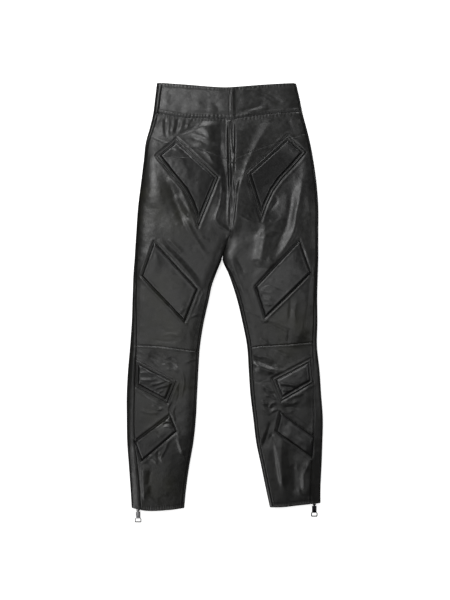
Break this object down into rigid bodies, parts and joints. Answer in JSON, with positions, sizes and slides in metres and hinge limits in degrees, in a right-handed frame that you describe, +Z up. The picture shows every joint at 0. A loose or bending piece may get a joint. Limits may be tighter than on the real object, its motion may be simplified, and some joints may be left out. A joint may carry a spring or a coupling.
{
  "type": "leather trousers",
  "caption": "Black leather trousers laid flat: a high waistband, slim tapered legs, padded panels on hips, thighs, knees and shins, and zipped ankles.",
  "frame": {"origin": "on the surface that the garment lies on, under the middle of its whole outline", "axes": "+Y up the garment from hem to waist, +X to the right of someone who looks down at its front, +Z up from the surface"},
  "size_m": [0.4703, 1.054, 0.0347],
  "materials": {
    "leather": "smooth black lambskin with a soft sheen",
    "padded_leather": "smooth black lambskin, stitched over thin padding",
    "zip_tape": "black woven polyester tape",
    "zip_metal": "black nickel, polished"
  },
  "bodies": {
    "garment": {"waistband_front_left": "leather", "yoke_front_left": "leather", "thigh_front_left": "leather", "shin_front_left": "leather", "leg_back_left": "leather", "waistband_front_right": "leather", "yoke_front_right": "leather", "thigh_front_right": "leather", "shin_front_right": "leather", "leg_back_right": "leather", "waistband_back": "leather", "fly_lap": "leather", "hip_pad_left": "padded_leather", "hip_pad_right": "padded_leather", "thigh_pad_left": "padded_leather", "thigh_pad_right": "padded_leather", "knee_pad_left": "padded_leather", "knee_pad_right": "padded_leather", "shin_pad_left": "padded_leather", "shin_pad_right": "padded_leather", "hip_frame_left": "leather", "hip_frame_right": "leather", "knee_frame_left": "leather", "knee_frame_right": "leather", "zip_strip_left": "zip_tape", "zip_slider_left": "zip_metal", "zip_strip_right": "zip_tape", "zip_slider_right": "zip_metal"},
    "pull_left": {"zip_pull_left": "zip_metal"},
    "pull_right": {"zip_pull_right": "zip_metal"}
  },
  "joints": [
    {"name": "pull_left_swing", "type": "hinge", "parent": "garment", "child": "pull_left", "pos_m": [-0.20829, -0.49743, 0.0052], "axis": [-1, 0, 0], "range_deg": [0, 95]},
    {"name": "pull_right_swing", "type": "hinge", "parent": "garment", "child": "pull_right", "pos_m": [0.21471, -0.48366, 0.0052], "axis": [-1, 0, 0], "range_deg": [0, 95]}
  ]
}
